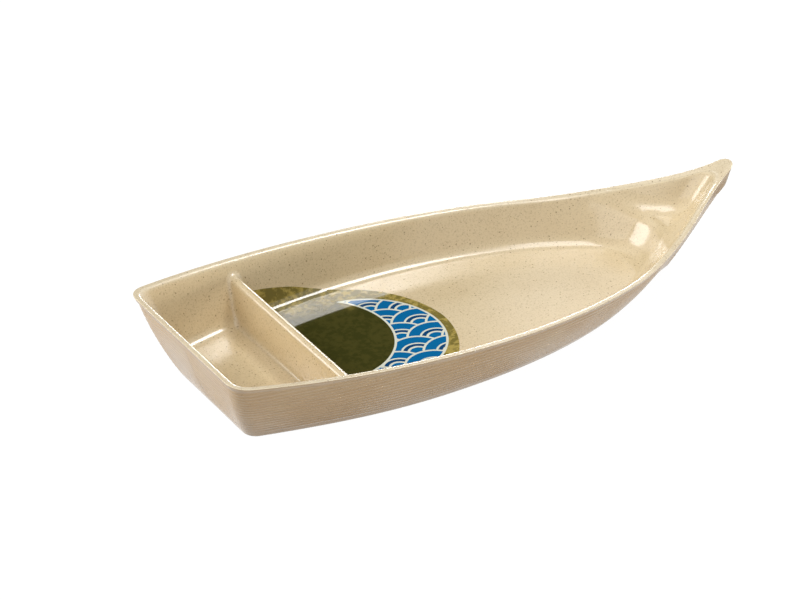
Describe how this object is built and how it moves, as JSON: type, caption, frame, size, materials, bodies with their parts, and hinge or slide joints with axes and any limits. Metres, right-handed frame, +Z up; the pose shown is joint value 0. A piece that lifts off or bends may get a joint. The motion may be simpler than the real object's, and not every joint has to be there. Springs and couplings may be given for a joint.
{
  "type": "sushi boat plate",
  "caption": "Boat-shaped moulded melamine serving plate with a flat transom, a raised pointed bow with a level deck, a cross divider near the stern and a printed floor.",
  "frame": {"origin": "on the table, under the middle of the plate's outer box", "axes": "+X from the transom to the bow, +Z up"},
  "size_m": [0.2496, 0.1062, 0.0395],
  "materials": {
    "speckled_melamine": "cream melamine with fine brown specks, glossy inside, satin grained outside",
    "printed_foil": "glossy mottled green print with blue and white traditional motifs"
  },
  "bodies": {
    "root": {"boat_body": "speckled_melamine", "print_foil": "printed_foil"}
  },
  "joints": []
}
